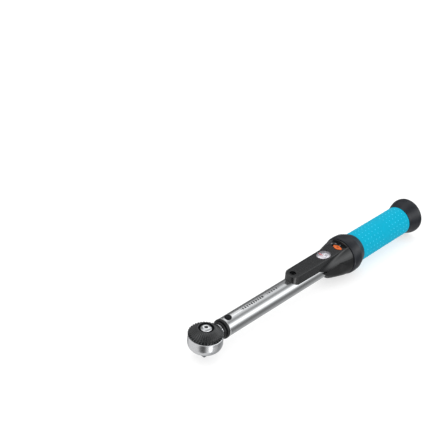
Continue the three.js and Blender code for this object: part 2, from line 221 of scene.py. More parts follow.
def joined(meshes):
    """Several meshes as one, left as separate shells."""
    bm = bmesh.new()
    for mesh in meshes:
        bm.from_mesh(mesh)
        bpy.data.meshes.remove(mesh)
    result = bpy.data.meshes.new("shape")
    bm.to_mesh(result)
    bm.free()
    return result


def combined(mesh, tool, operation="DIFFERENCE"):
    """The mesh with the tool cut away from it, or added to it."""
    scene = bpy.context.scene
    base = bpy.data.objects.new("base", mesh)
    other = bpy.data.objects.new("tool", tool)
    scene.collection.objects.link(base)
    scene.collection.objects.link(other)
    modifier = base.modifiers.new("cut", "BOOLEAN")
    modifier.operation = operation
    modifier.object = other
    modifier.solver = "EXACT"
    depsgraph = bpy.context.evaluated_depsgraph_get()
    result = bpy.data.meshes.new_from_object(base.evaluated_get(depsgraph))
    bpy.data.objects.remove(base)
    bpy.data.objects.remove(other)
    bpy.data.meshes.remove(mesh)
    bpy.data.meshes.remove(tool)
    return result


def piece(name, mesh, body, material, stands_for=(), edge=0.0, sharp=32.0):
    """A finished piece: named, smoothed, riding on its body, with the CAD nodes it stands for hidden."""
    mesh.name = name
    mesh.materials.clear()
    mesh.materials.append(material)
    mesh.shade_smooth()
    mesh.set_sharp_from_angle(angle=math.radians(sharp))
    obj = bpy.data.objects.new(name, mesh)
    bpy.context.scene.collection.objects.link(obj)
    if edge:
        bevel = obj.modifiers.new("edges", "BEVEL")
        bevel.width = edge * MM
        bevel.segments = 2
        bevel.limit_method = "ANGLE"
        bevel.angle_limit = math.radians(sharp)
    normals = obj.modifiers.new("normals", "WEIGHTED_NORMAL")
    normals.keep_sharp = True
    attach(obj, body)
    if stands_for:
        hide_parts(*stands_for)
    return obj


# ---------------------------------------------------------------- materials

def linear(red, green, blue):
    """A colour written as 0 to 255 screen values, as Blender wants it."""
    def channel(value):
        v = value / 255
        return v / 12.92 if v <= 0.04045 else ((v + 0.055) / 1.055) ** 2.4

    return (channel(red), channel(green), channel(blue), 1.0)


def scaled(colour, factor):
    return tuple(min(1.0, c * factor) for c in colour[:3]) + (1.0,)


def mixed_colours(tree, factor, first, second):
    """Output of a node that mixes two colours, each given as a value or as another node's output."""
    node = tree.nodes.new("ShaderNodeMix")
    node.data_type = "RGBA"
    tree.links.new(factor, node.inputs["Factor"])
    colour_sockets = [socket for socket in node.inputs if socket.type == "RGBA"]
    for socket, value in zip(colour_sockets, (first, second)):
        if isinstance(value, tuple):
            socket.default_value = value
        else:
            tree.links.new(value, socket)
    return next(socket for socket in node.outputs if socket.type == "RGBA")


class Surface:
    """A material whose tint, roughness and relief come from noise at set sizes in millimetres."""

    def __init__(self, name, colour, rough, metal=0.0, stretch=(1, 1, 1)):
        self.material = bpy.data.materials.new(name)
        self.material.use_nodes = True
        self.nodes = self.material.node_tree.nodes
        self.links = self.material.node_tree.links
        self.shader = self.nodes["Principled BSDF"]
        self.shader.inputs["Metallic"].default_value = metal
        self.colour = colour
        self.tint = None
        self.rough = rough
        coords = self.nodes.new("ShaderNodeTexCoord")
        self.place = coords.outputs["Object"]
        mapping = self.nodes.new("ShaderNodeMapping")
        mapping.inputs["Scale"].default_value = stretch
        self.links.new(self.place, mapping.inputs["Vector"])
        self.grain = mapping.outputs["Vector"]

    def noise(self, size, detail=2.0):
        node = self.nodes.new("ShaderNodeTexNoise")
        node.inputs["Scale"].default_value = 1 / (size * MM)
        node.inputs["Detail"].default_value = detail
        self.links.new(self.grain, node.inputs["Vector"])
        return node.outputs["Fac"]

    def spread(self, value, low, high, to_low=0.0, to_high=1.0):
        """A value's range from low to high, stretched to another range."""
        node = self.nodes.new("ShaderNodeMapRange")
        node.inputs["From Min"].default_value = low
        node.inputs["From Max"].default_value = high
        node.inputs["To Min"].default_value = to_low
        node.inputs["To Max"].default_value = to_high
        self.links.new(value, node.inputs["Value"])
        return node.outputs["Result"]

    def maths(self, operation, a, b=None, c=None):
        node = self.nodes.new("ShaderNodeMath")
        node.operation = operation
        for socket, value in zip(node.inputs, (a, b, c)):
            if value is None:
                continue
            if isinstance(value, (int, float)):
                socket.default_value = value
            else:
                self.links.new(value, socket)
        return node.outputs[0]

    def between(self, factor, first, second):
        return mixed_colours(self.material.node_tree, factor, first, second)

    def tinted(self, size, amount):
        """Colour that drifts lighter and darker over patches of this size."""
        factor = self.spread(self.noise(size, 3.0), 0.3, 0.7)
        dark = scaled(self.colour, 1 - amount)
        light = scaled(self.colour, 1 + amount)
        self.tint = self.between(factor, dark, light)
        return self

    def edge_wear_and_highlight(self, colour, amount=0.5):
        """Paler at convex edges, in patches: rubbed wear, and also a painted highlight along edges and rib
        crests.
        """
        # The pointiness mask paints a highlight on edges as well as wear.
        geometry = self.nodes.new("ShaderNodeNewGeometry")
        edge = self.spread(geometry.outputs["Pointiness"], 0.52, 0.6)
        patch = self.spread(self.noise(1.6, 3.0), 0.42, 0.62, 0.0, amount)
        self.tint = self.between(self.maths("MULTIPLY", edge, patch), self.tint, colour)
        return self

    def marked(self, mask, colour):
        """A second colour where the mask is 1."""
        self.tint = self.between(mask, self.tint, colour)
        return self

    def roughened(self, size, amount):
        """Roughness that drifts by this amount over patches of this size."""
        factor = self.noise(size, 4.0)
        rough = self.spread(factor, 0.3, 0.7, max(0.02, self.rough - amount), self.rough + amount)
        self.links.new(rough, self.shader.inputs["Roughness"])
        return self

    def relief(self, size, depth, strength=1.0):
        """Fine bumps of this size and depth."""
        bump = self.nodes.new("ShaderNodeBump")
        bump.inputs["Strength"].default_value = strength
        bump.inputs["Distance"].default_value = depth * MM
        self.links.new(self.noise(size), bump.inputs["Height"])
        self.links.new(bump.outputs["Normal"], self.shader.inputs["Normal"])
        return self

    def done(self, **sockets):
        """The finished material; further shader sockets are set by name, with _ for a space."""
        self.links.new(self.tint, self.shader.inputs["Base Color"])
        for socket, value in sockets.items():
            self.shader.inputs[socket.replace("_", " ")].default_value = value
        return self.material


def chrome_tube():
    s = Surface("chrome_tube", linear(229, 230, 231), 0.17, 1.0, stretch=(0.12, 1, 1))
    s.tinted(2.5, 0.035)
    s.marked(etched_marks(s), linear(54, 56, 59))
    s.roughened(1.5, 0.035)
    s.relief(0.8, 0.0005, 0.6)
    return s.done()


def band(surface, value, low, high):
    """1 where the value lies between low and high, in millimetres."""
    above = surface.maths("GREATER_THAN", value, low * MM)
    below = surface.maths("LESS_THAN", value, high * MM)
    return surface.maths("MULTIPLY", above, below)


def etched_marks(s):
    """Etched rows of plain bars along the tube's top, and faint ticks on its near side."""
    split = s.nodes.new("ShaderNodeSeparateXYZ")
    s.links.new(s.place, split.inputs["Vector"])
    x, y, z = split.outputs
    bars = None
    for start, end, pitch, duty, low, high in (
        (45, 74.5, 2.9, 0.66, -1.5, 1.0),
        (80, 96, 3.3, 0.42, -1.2, 0.8),
    ):
        step = s.maths("FRACT", s.maths("DIVIDE", x, pitch * MM))
        bar = s.maths("LESS_THAN", step, duty)
        row = s.maths("MULTIPLY", band(s, x, start, end), band(s, y, low, high))
        row = s.maths("MULTIPLY", bar, row)
        bars = row if bars is None else s.maths("MAXIMUM", bars, row)
    upper = s.maths("GREATER_THAN", z, AXIS * MM)
    bars = s.maths("MULTIPLY", bars, upper)
    tick = s.maths("LESS_THAN", s.maths("FRACT", s.maths("DIVIDE", x, 2.4 * MM)), 0.3)
    ticks = s.maths("MULTIPLY", band(s, x, 114, 133), band(s, z, AXIS + 1.4, AXIS + 3.0))
    ticks = s.maths("MULTIPLY", ticks, s.maths("LESS_THAN", y, 0.0))
    ticks = s.maths("MULTIPLY", s.maths("MULTIPLY", tick, ticks), 0.4)
    speck = s.spread(s.noise(0.5), 0.35, 0.55, 0.7, 1.0)
    return s.maths("MULTIPLY", s.maths("MAXIMUM", bars, ticks), speck)


def metal(name, colour, rough, drift=0.05, relief=0.0006, uneven=0.06):
    """Plated or bare metal, rubbed a little brighter at its edges."""
    s = Surface(name, colour, rough, 1.0)
    s.tinted(2.0, drift)
    s.edge_wear_and_highlight(scaled(colour, 1.25), 0.6)
    s.roughened(3.0, uneven)
    s.relief(0.6, relief)
    return s.done()


def plastic(name, colour, rough, drift=0.08, relief=0.012, size=0.35, edge=1.9, **sockets):
    """Moulded plastic or rubber; edge says how much paler its edges are painted, as rubbed wear and as
    painted highlight.
    """
    s = Surface(name, colour, rough)
    s.tinted(3.0, drift)
    # Paler edges: rubbed wear and painted highlight.
    s.edge_wear_and_highlight(scaled(colour, edge), 0.7)
    s.roughened(2.5, 0.07)
    s.relief(size, relief)
    return s.done(**sockets)


MATERIALS = {
    "chrome_tube": chrome_tube(),
    "satin_chrome": metal("satin_chrome", linear(222, 223, 225), 0.28, 0.02, 0.00004, 0.025),
    "polished_chrome": metal("polished_chrome", linear(240, 241, 243), 0.1, 0.02, 0.0001, 0.03),
    # A darker copy of the chrome: painted shade for the square drive, which sits in shadow under the head.
    "shade_darkened_chrome": metal("shade_darkened_chrome", linear(128, 130, 134), 0.28, 0.04),
    "plain_steel": metal("plain_steel", linear(150, 153, 157), 0.38, 0.1),
    "spring_steel": metal("spring_steel", linear(112, 115, 120), 0.35, 0.1),
    "black_oxide": metal("black_oxide", linear(44, 45, 47), 0.42, 0.15),
    "black_plastic": plastic(
        "black_plastic", linear(12, 13, 15), 0.25, relief=0.0012, Specular_IOR_Level=0.78
    ),
    "matt_plastic": plastic(
        "matt_plastic", linear(12, 13, 14), 0.42, relief=0.003, Specular_IOR_Level=0.4
    ),
    "collar_plastic": plastic("collar_plastic", linear(20, 23, 30), 0.34, relief=0.002),
    # Edge factor 7 paints bright highlights on the dial's rib crests and tooth tips.
    "dial_plastic": plastic(
        "dial_plastic", linear(18, 20, 22), 0.28, relief=0.002, edge=7, Specular_IOR_Level=0.9
    ),
    "black_rubber": plastic("black_rubber", linear(20, 21, 22), 0.45, relief=0.01),
    "teal_grip": plastic(
        "teal_grip", linear(0, 160, 190), 0.6, 0.04, 0.015, 0.45, 1.1, Specular_IOR_Level=0.08
    ),
    "grip_dots": plastic("grip_dots", linear(20, 196, 226), 0.5, 0.03, edge=1.05),
    "orange_plastic": plastic("orange_plastic", linear(204, 92, 12), 0.45, 0.05, edge=1.15),
    "button_dot": plastic("button_dot", linear(150, 52, 4), 0.5, 0.05, edge=1.1),
    "white_scale": plastic("white_scale", linear(232, 230, 236), 0.5, 0.03, edge=1.05),
    "red_mark": plastic("red_mark", linear(196, 24, 40), 0.45, 0.04, edge=1.1),
    "clear_lens": plastic(
        "clear_lens", linear(238, 236, 245), 0.08, 0.02, 0.0005, 2.0, 1.02, Alpha=0.1
    ),
    "print_black": plastic("print_black", linear(20, 21, 26), 0.6, 0.05),
    "print_grey": plastic("print_grey", linear(98, 101, 105), 0.6, 0.05),
}


# ---------------------------------------------------------------- tube and neck

def tube():
    """Chromed tube with a slot on top, where the scale strip's foot reaches in."""
    loop = [(22.5, 7.6), (TUBE_END, 7.6), (TUBE_END, TUBE_R), (23.1, TUBE_R), (22.5, 8.4)]
    slot = block((141.4, 171.6), (-2, 2), (5, 10))
    return combined(turned(rounded(loop, 0.25), sides=128), slot)


def pivot_pin():
    """Domed black rivet head on top, a flat one below, and the shank between."""
    loop = [
        (-10, 0), (-10, 2.6), (-9.6, 3), (-8.2, 3), (-8.2, 2.3), (8, 2.3), (8, 3.3), (9.6, 3.3),
        (10.05, 2.6), (10.2, 1.2), (10.2, 0),
    ]
    return turned(rounded(loop, 0.25), "z", 48, (PIN_X, 0))


def neck_boot():
    """Rubber boot over the gap between the drum's neck and the tube, with a ridge round it."""
    loop = [
        (17.2, 6.6), (25.5, 6.6), (25.5, 7.3), (22.2, 7.3), (22.2, 8.9), (21.9, 9.2), (19.8, 9.2),
        (19.5, 8.9), (19.5, 7), (18.7, 7), (18.7, 7.9), (17.2, 7.6),
    ]
    return turned(rounded(loop, 0.25))


# ---------------------------------------------------------------- ratchet head

DRUM_R = 15.66
DRUM_TOP = 4.6
DRUM_BOTTOM = -9.3
DRUM_FILLET = (6.3, 7.2)  # across and up
CAVITY_R = 13.6
CAVITY_FLOOR = -7.2


def head_body():
    """Forged barrel-shaped drum with a large lower fillet, its neck and the tang in the tube."""
    across, up = DRUM_FILLET
    loop = [(DRUM_BOTTOM, 5.7)]
    for step in range(13):
        angle = math.radians(-90 + 7.5 * step)
        radius = DRUM_R - across + across * math.cos(angle)
        loop.append((DRUM_BOTTOM + up + up * math.sin(angle), radius))
    loop += [(1, DRUM_R - 0.05), (2.8, DRUM_R - 0.2), (DRUM_TOP - 0.4, DRUM_R - 0.42)]
    loop += [(DRUM_TOP, DRUM_R - 0.8), (DRUM_TOP, CAVITY_R)]
    loop += [(CAVITY_FLOOR, CAVITY_R), (CAVITY_FLOOR, 5.7)]
    drum = turned(loop, "z", 160)
    neck = turned([(14.5, 0), (34, 0), (34, 5.6), (17, 5.6), (16.8, 6.75), (14.5, 6.9)], sides=64)
    over = [(DRUM_TOP, 0), (9, 0), (9, DRUM_R), (DRUM_TOP, DRUM_R)]
    neck = combined(neck, turned(over, "z", 96))
    shape = combined(drum, neck, "UNION")
    shape = combined(shape, block((33, 78), (-3.7, 3.7), (-4.2, 4.2)), "UNION")
    return combined(shape, rod("z", (PIN_X, 0), 2.6, -8, 8))


DIAL_TEETH = 36
DIAL_CONE = [(7.9, 12.4), (9.2, 11.45), (10.6, 10.4), (12, 9.3), (13.3, 8.25), (14.4, 7.35)]


def reversing_dial():
    """Shallow cone with radial ribs ending in a toothed rim, and a hub through the cover."""
    sides = DIAL_TEETH * 10
    # (radius, height, depth of the ribs, depth of the teeth)
    rings = [
        (5.6, 1.4, 0, 0), (7.2, 1.4, 0, 0), (7.2, 1.6, 0, 0), (6.4, 1.6, 0, 0), (6.4, 2.6, 0, 0),
        (7.2, 2.6, 0, 0), (7.2, 4.9, 0, 0), (14, 4.9, 0, 0), (15.35, 5.05, 0, 1.3),
        (15.6, 5.4, 0, 1.55), (15.6, 6.6, 0, 1.55), (15.4, 7.0, 0, 1.45),
    ]
    for radius, height in reversed(DIAL_CONE):
        rings.append((radius, height, 0.4 + 0.7 * (radius - 7.9) / 6.5, 0.6 * (radius > 14)))
    rings += [(7.6, 12.6, 0, 0), (7.2, 12.6, 0, 0), (6.9, 12.3, 0, 0), (6.9, 8.9, 0, 0)]
    rings.append((5.6, 8.9, 0, 0))
    points = []
    for radius, height, rib, tooth in rings:
        for side in range(sides):
            angle = FULL * side / sides
            wave = min(1.0, max(0.0, 0.5 - 0.8 * math.cos(DIAL_TEETH * angle)))
            r = radius - tooth * wave
            points.append((r * math.cos(angle), r * math.sin(angle), height - rib * wave))
    return build(points, grid_faces(len(rings), sides, close_rows=True, close_columns=True))


def release_button():
    """Polished dome with a dimple, on the rod that frees the ball."""
    loop = [
        (-14.3, 0), (-14.3, 1.3), (-12.5, 1.3), (-12.5, 0.75), (-10.5, 0.75), (-10.5, 1.3), (10.5, 1.3),
        (10.5, 4.9), (10.7, 5.3), (11.5, 5.3), (12.25, 4.9), (12.8, 4.2), (13.2, 3.3), (13.38, 2.4),
        (13.38, 1.9, 0.1), (13.0, 1.7, 0.1), (12.2, 1.65), (12.2, 0),
    ]
    return turned(rounded(loop, 0.2), "z", 64)


def button_plug():
    """Dark plug at the bottom of the button's dimple."""
    loop = [(12.1, 0), (12.1, 1.6), (12.45, 1.6), (12.55, 1.2), (12.5, 0)]
    return turned(rounded(loop, 0.1), "z", 32)


GEAR_TEETH = 24


def drive_gear():
    """Square drive, its boss, the ratchet gear and the hub, bored for the release rod."""
    half = 3.175  # half the width of a quarter-inch square
    corners = [(half, -half), (half, half), (-half, half), (-half, -half)]
    square = stacked(corners, [(0.86, -AXIS), (1, -AXIS + 0.5), (1, -9)])
    boss = turned(rounded([(-10.2, 0), (-10.2, 5.4), (-6.5, 5.4), (-6.5, 0)], 0.3), "z", 64)
    shape = combined(boss, square, "UNION")
    teeth = []
    for tooth in range(GEAR_TEETH):
        for radius, offset in ((6.5, -0.4), (7.5, -0.12), (7.5, 0.12), (6.5, 0.4)):
            angle = FULL * (tooth + offset) / GEAR_TEETH
            teeth.append((radius * math.cos(angle), radius * math.sin(angle)))
    shape = combined(shape, plate(teeth, -6.9, -0.9), "UNION")
    shape = combined(shape, rod("z", (0, 0), 5.2, -1, 7.1, 64), "UNION")
    shape = combined(shape, rod("z", (0, 0), 1.65, -16.6, 8, 24))
    shape = combined(shape, rod("z", (0, 0), 3.4, 4.7, 8, 32))
    return combined(shape, rod("y", (0, -13.4), 1.3, 0, 4, 24))


# ---------------------------------------------------------------- housing

# By place along the tube: the radius of the flare and of the saddle, and where each one's edge lies
FLARE = [
    (148, 9.2), (152, 9.75), (156, 10.5), (161, 11.8), (169, 14.1), (177, 16.1), (185.5, 17.75),
    (190, 18.2),
]
SADDLE = [(150, 10.7), (154, 10.9), (160, 11.3), (169, 13.8), (177, 15.8), (185.5, 17.7), (190, 18.2)]
UPPER_EDGE = [(148.5, 5.0), (152.8, 3.6), (158.8, 2.25), (173.1, 7.2), (190, 7.2)]
SADDLE_EDGE = [(152, 2.4), (158.8, 1.95), (173.1, 6.95), (190, 6.95)]
SADDLE_RAKE = 1.05  # the saddle's front edge moves back this much for each millimetre down
# Half the tongue's width, by place along the tube
TONGUE_HALF = [
    (110, 2.6), (110.4, 3.6), (111, 4.5), (112, 5.5), (113.4, 6.4), (115, 7.1), (117, 7.5), (140, 7.7),
    (188.6, 8.0),
]
BORE = 9.12
FLARE_START = 149
RECESS_END = 188.6


def flowing_max(a, b, width):
    """The larger of two values, rounded over where they cross."""
    mix = max(width - abs(a - b), 0.0) / width
    return max(a, b) + mix * mix * width * 0.25


def upper_section(x):
    """Outline of the upper shell at x from the near parting line over the top to the far one."""
    half = along(TONGUE_HALF, x)
    top = TONGUE_TOP - (0.6 if x < 110.05 else 0.15 if x < 110.35 else 0.0)
    corner = 0.85
    flare = smooth_along(FLARE, x)
    # The side of the tongue, from the tube up to the top corner
    if x < FLARE_START:
        low = math.asin(math.sqrt(BORE**2 - half**2) / BORE)
    else:
        low = math.asin(along(UPPER_EDGE, x) / flare)
    high = math.atan2(top - corner, half)
    side = []
    for step in range(27):
        angle = mixed(low, high, (step / 26) ** 0.8)
        wall = half / math.cos(angle)
        if x < FLARE_START:
            radius = max(wall, BORE)
        else:
            radius = flowing_max(wall, flare, 3.4)
        side.append((radius * math.cos(angle), radius * math.sin(angle)))
    # The corner, and the flat top up to the middle
    for step, degrees in enumerate((10, 33, 57, 80), 1):
        turn = math.radians(degrees)
        y = half - corner + corner * math.cos(turn)
        h = top - corner + corner * math.sin(turn)
        radius = math.hypot(y, h)
        if x >= RECESS_END or (step <= 2 and flare > radius):
            factor = max(flare, radius) / radius
            y, h = y * factor, h * factor
        side.append((y, h))
    for share in (0.75, 0.5, 0.25, 0.0):
        y = (half - corner) * share
        h = top
        if x >= RECESS_END:
            angle = math.atan2(top, y)
            y, h = flare * math.cos(angle), flare * math.sin(angle)
        side.append((y, h))
    far = [(y, h) for y, h in reversed(side[:-1])]
    return [(-y, h) for y, h in side] + far


def housing_upper():
    """Tongue with the scale window, running back into the flared round rear."""
    stations = [110, 110.1, 110.4, 111, 112, 113.4, 115, 117, 121, 126, 132, 138, 143, 146]
    stations += [148.95, 149.05]
    stations += [150 + 0.8 * step for step in range(48)]
    stations += [188.55, 188.65, 189.3, 189.8, HOUSING_REAR]
    points = []
    for x in stations:
        section = upper_section(x)
        trim = 0.985 if x == HOUSING_REAR else 1.0
        points += [(x, y * trim, h * trim) for y, h in section]
        first = math.atan2(section[0][1], section[0][0])
        last = math.atan2(section[-1][1], section[-1][0])
        count = len(section)
        for step in range(count):
            angle = mixed(last, first, step / (count - 1))
            points.append((x, BORE * math.cos(angle), BORE * math.sin(angle)))
    columns = len(points) // len(stations)
    faces = grid_faces(len(stations), columns, close_columns=True)
    rear = (len(stations) - 1) * columns
    half = columns // 2
    for start in (0, rear):
        for step in range(half - 1):
            inner = start + columns - 1 - step
            faces.append((start + step, start + step + 1, inner - 1, inner))
    shape = build(points, faces)
    room_for_strip = block((133, 188.2), (-6.5, 6.5), (5, 13.3))
    screw_hole = turned([(12, 0), (16, 0), (16, 3.1), (12, 3.1)], "z", 48, (SCREW_X, 0))
    window_seat = plate(oval(WINDOW_X, 0, 8.4, 6.5), 13.6, 16)
    window_hole = plate(oval(WINDOW_X, 0, 7.8, 5.9), 12, 15)
    lock_slot = block((180.3, 183.7), (-4.8, 5), (12, 17))
    bolt_slot = block((187, 191), (-1.1, 1.1), (11.9, 13.4))
    for cutter in (room_for_strip, screw_hole, window_seat, window_hole, lock_slot, bolt_slot):
        shape = combined(shape, cutter)
    return shape


def saddle_radius(x, angle):
    """Round underneath, with flat cheeks below the parting line that fade out to the rear."""
    radius = smooth_along(SADDLE, x)
    edge = math.asin(along(SADDLE_EDGE, x) / radius)
    fade = min(1.0, max(0.0, (x - 171) / 12))
    cheek = radius * mixed(math.cos(edge), 1.0, fade * fade * (3 - 2 * fade))
    return min(radius, cheek / max(0.01, abs(math.cos(angle))))


def housing_lower():
    """Saddle under the tube, with a raked snout, up to the sloping parting line."""
    sides = 72
    steps = [0, 0.004, 0.012, 0.024, 0.04, 0.06] + [0.09 + 0.91 * i / 22 for i in range(23)]
    columns = 2 * (sides + 1)

    def spread(x, share):
        edge = math.asin(along(SADDLE_EDGE, x) / smooth_along(SADDLE, x))
        return mixed(edge, -math.pi - edge, share)

    points = []
    for step in steps:
        for outside in (True, False):
            for column in range(sides + 1):
                share = column / sides if outside else 1 - column / sides
                front = 152 + SADDLE_RAKE * (2.4 - 10.6 * math.sin(spread(152, share)))
                x = mixed(front, HOUSING_REAR, step)
                angle = spread(x, share)
                radius = saddle_radius(x, angle)
                radius -= 0.7 * max(0.0, 1 - (x - front) / 1.8) ** 2
                radius = radius if outside else BORE
                if step == 1 and outside:
                    radius *= 0.985
                points.append((x, -radius * math.cos(angle), radius * math.sin(angle)))
    faces = grid_faces(len(steps), columns, close_columns=True)
    for start in (0, (len(steps) - 1) * columns):
        for column in range(sides):
            inner = start + columns - 1 - column
            faces.append((start + column, start + column + 1, inner - 1, inner))
    return build(points, faces)


def housing_screw():
    """Socket screw sunk in the front of the tongue."""
    loop = [(12.3, 0), (12.3, 2.7), (14, 2.7), (14, 0)]
    head = turned(rounded(loop, 0.3), "z", 48, (SCREW_X, 0))
    head = combined(head, plate(polygon(SCREW_X, 0, 1.5, 6), 12.9, 15))
    return combined(head, rod("z", (SCREW_X, 0), 1.5, 7.9, 12.5, 24), "UNION")


def scale_window():
    """Clear oval lens with a low crown."""
    levels = [
        (1, 13.9), (1, 14.35), (0.975, 14.5), (0.9, 14.62), (0.75, 14.74), (0.5, 14.84), (0.2, 14.89),
    ]
    return stacked(oval(WINDOW_X, 0, 8.2, 6.3, 64), levels, (WINDOW_X, 0))


def index_pointer():
    """Red needle under the lens, pointing in from the far side."""
    outline = [(WINDOW_X, 0.4), (163.1, 1.8), (163.1, 5.7), (161.9, 5.7), (161.9, 1.8)]
    return plate(outline, 13.2, 13.6)


def scale_carrier():
    """Sliding strip that carries the scale, with a foot down into the tube."""
    plain = block((154, 188.4), (-6.1, 6.1), (11.2, 11.85))
    return combined(plain, block((160.4, 171), (-1.7, 1.7), (5.7, 11.4)), "UNION")


SEGMENTS = {"0": "abcdef", "1": "bc", "2": "abged", "5": "afgcd"}


def numeral_strokes(x, y, text):
    """Strokes of plain figures read from the drive's end."""
    high, wide, pen = 2.3, 1.3, 0.46
    strokes = []
    for index, sign in enumerate(text):
        left = y + index * (wide + 0.6)
        spots = {
            "a": (0, 0, wide, 1), "b": (wide, 0, high / 2, 0), "c": (wide, high / 2, high / 2, 0),
            "d": (0, high, wide, 1), "e": (0, high / 2, high / 2, 0), "f": (0, 0, high / 2, 0),
            "g": (0, high / 2, wide, 1),
        }
        for segment in SEGMENTS[sign]:
            across, down, length, flat = spots[segment]
            y0 = left + across
            x0 = x + high / 2 - down
            if flat:
                strokes.append(((x0 - pen / 2, x0 + pen / 2), (y0, y0 + length)))
            else:
                strokes.append(((x0 - length, x0), (y0 - pen / 2, y0 + pen / 2)))
    return strokes


def scale_marks():
    """Printed graduations and figures; one small step for each newton metre."""
    marks = []
    for step in range(-7, 21):
        x = WINDOW_X + 0.9 * step
        reach = 2.6 if step % 5 == 0 else 1.7
        marks.append(((x - 0.19, x + 0.19), (5.7 - reach, 5.7)))
    for index, text in enumerate(("5", "10", "15", "20", "25")):
        marks += numeral_strokes(WINDOW_X + 4.5 * index, -2.4, text)
    return joined([block(xs, ys, (11.84, 11.9)) for xs, ys in marks])


LOCK_CENTRE = (182, -1.7)


def lock_slider():
    """Pointed oval push knob on a stem, with its sliding flange under the shell."""
    levels = [
        (0.97, 15.06), (1, 15.15), (1, 15.3), (0.94, 15.55), (0.8, 15.76), (0.55, 15.87), (0.25, 15.9),
    ]
    shape = stacked(oval(*LOCK_CENTRE, 3.1, 4.95, 56, 1.5), levels, LOCK_CENTRE)
    shape = combined(shape, block((180.6, 183.4), (-4.5, 1.1), (12.8, 15.3)), "UNION")
    flange = [(177.6, -5.2), (188.0, -5.2), (188.0, -3.6), (185.2, 1.8), (177.6, 1.8)]
    shape = combined(shape, plate(flange, 12.2, 13), "UNION")
    recess = turned([(15.4, 0), (16.5, 0), (16.5, 1.8), (15.4, 1.2)], "z", 32, LOCK_CENTRE)
    return combined(shape, recess)


def lock_slider_dot():
    """Darker disc on the floor of the knob's recess."""
    loop = [(15.3, 0), (15.3, 1.15), (15.48, 1.1), (15.52, 0)]
    return turned(rounded(loop, 0.1), "z", 32, LOCK_CENTRE)


def padlock(x, y, turn, open_by):
    """Plain padlock sign: a body with a shackle over it."""
    parts = [[(-0.85, -0.75), (0.35, -0.75), (0.35, 0.75), (-0.85, 0.75)]]
    arc = []
    for radius, order in ((0.62, 1), (0.36, -1)):
        for step in range(9):
            share = step / 8 if order > 0 else 1 - step / 8
            angle = math.radians(mixed(-90, 90, share))
            u = 0.3 + open_by + radius * 1.25 * math.cos(angle)
            arc.append((u, radius * math.sin(angle) + open_by))
    parts.append(arc)
    c = math.cos(turn)
    s = math.sin(turn)
    moved = [[(x + c * u - s * v, y + s * u + c * v) for u, v in part] for part in parts]
    return [plate(part, TONGUE_TOP - 0.05, TONGUE_TOP + 0.04) for part in moved]


def lock_signs():
    """Printed signs beside the lock: shut, open, and the way to push."""
    arrow = [(186.2, 2.4), (186.9, 2.4), (186.9, 4), (187.4, 4), (186.55, 5.2), (185.7, 4), (186.2, 4)]
    shapes = padlock(183.6, 6.5, 0.0, 0.0) + padlock(187.0, -1.0, 0.0, 0.28)
    shapes.append(plate(arrow, TONGUE_TOP - 0.05, TONGUE_TOP + 0.04))
    return joined(shapes)


# ---------------------------------------------------------------- handle

def collar_ring():
    """Flared ring with lock notches in its front face."""
    loop = [
        (191, 9.5), (195.5, 9.5), (195.5, 13.5), (211.4, 13.5), (211.4, 15.3, 0.3), (208, 16.8, 1.5),
        (204.4, 18.1, 1.2), (201.8, 19.1, 0.3), (196, 19.55, 1.5), (192.6, 19.35, 0.7), (191, 18.3, 0.4),
    ]
    shape = turned(rounded(loop, 0.3, 4), sides=160)
    notches = []
    centre = Vector(at(0, 0, 0))
    for step in range(24):
        notch = block((190, 193.6), (-1.1, 1.1), (11.8, 13.5))
        turn = Matrix.Translation(centre) @ Matrix.Rotation(math.radians(15 * step), 4, "X")
        notch.transform(turn @ Matrix.Translation(-centre))
        notches.append(notch)
    return combined(shape, joined(notches))


GRIP_R = 15.0
DOT_RINGS = [217.5 + 5.45 * i for i in range(6)] + [259 + 5.4 * i for i in range(6)]
DOTS_ROUND = 21


def grip_sleeve():
    """Soft sleeve, very slightly waisted."""
    loop = [
        (GRIP_FRONT, 13.5), (GRIP_REAR, 13.5), (GRIP_REAR, GRIP_R, 0.5), (251, GRIP_R - 0.12, 20),
        (GRIP_FRONT, GRIP_R, 0.5),
    ]
    return turned(rounded(loop, 0.2, 6), sides=128)


def grip_dots():
    """Raised studs in two bands round the grip."""
    levels = [(0.62, -0.3), (0.6, 0.06), (0.5, 0.17), (0.3, 0.25)]
    points = []
    faces = []
    sides = 12
    for x in DOT_RINGS:
        for index in range(DOTS_ROUND):
            angle = math.radians(15 + index * 360 / DOTS_ROUND)
            out = Vector((0, -math.cos(angle), math.sin(angle)))
            round_way = Vector((0, math.sin(angle), math.cos(angle)))
            start = len(points)
            for radius, lift in levels:
                for side in range(sides):
                    turn = FULL * side / sides
                    p = Vector((x, 0, 0)) + out * (GRIP_R - 0.06 + lift)
                    p += Vector((radius * math.cos(turn), 0, 0)) + round_way * radius * math.sin(turn)
                    points.append(tuple(p))
            for face in grid_faces(len(levels), sides, close_columns=True):
                faces.append(tuple(start + i for i in face))
            faces.append(tuple(start + i for i in range(sides)))
            top = start + (len(levels) - 1) * sides
            faces.append(tuple(top + i for i in range(sides)))
    return build(points, faces)


def end_cap():
    """Flared cap with a dished end and the bolt's counterbore."""
    loop = [
        (289.3, 1.8), (303.5, 1.8), (303.5, 3.1), (306.5, 3.1), (306.5, 10, 0.6), (309.5, 11.5, 0.4),
        (309.5, 17.2, 0.5), (309, 18.2, 0.6), (306.8, 18.6, 1.2), (304.5, 18.5, 1.2), (301, 17.7, 1.5),
        (298, 16.6, 1.4), (295, 15.7, 1.4), (291.6, 15.1, 0.3), (291.6, 12.9), (289.3, 12.9),
    ]
    return turned(rounded(loop, 0.3, 4), sides=160)


def handle_bolt():
    """Socket-headed bolt that holds the cap on."""
    head = turned(rounded([(303.8, 0), (303.8, 2.8), (306.8, 2.8), (306.8, 0)], 0.35), sides=48)
    socket = [(305.3, 0), (308, 0), (308, 1.44), (305.3, 1.44)]
    head = combined(head, turned(socket, "x", 6))
    return combined(head, rod("x", (0, 0), 1.5, 277, 304, 24), "UNION")


# ---------------------------------------------------------------- putting it together

